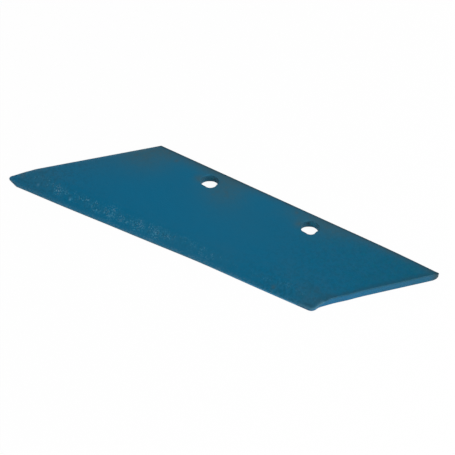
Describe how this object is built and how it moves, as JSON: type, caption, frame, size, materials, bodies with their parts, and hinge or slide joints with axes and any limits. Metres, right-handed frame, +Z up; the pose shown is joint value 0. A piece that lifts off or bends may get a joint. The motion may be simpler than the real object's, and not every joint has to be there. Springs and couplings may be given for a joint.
{
  "type": "plough skimmer point",
  "caption": "Flat slanted steel plate with a forged bevel along its cutting edge and a row of bolt holes near its back edge, a bolt-on wearing point for a plough skimmer.",
  "frame": {"origin": "on the flat underside, midway between the two bolt hole axes", "axes": "+X along the hole row towards the wing end, +Y square to it towards the back edge, +Z up through the plate out of the bevelled side"},
  "size_m": [0.3018, 0.0877, 0.0063],
  "materials": {
    "blue_paint": "semi-matt blue paint over forged steel, slightly mottled"
  },
  "bodies": {
    "root": {"skimmer_point": "blue_paint"}
  },
  "joints": []
}
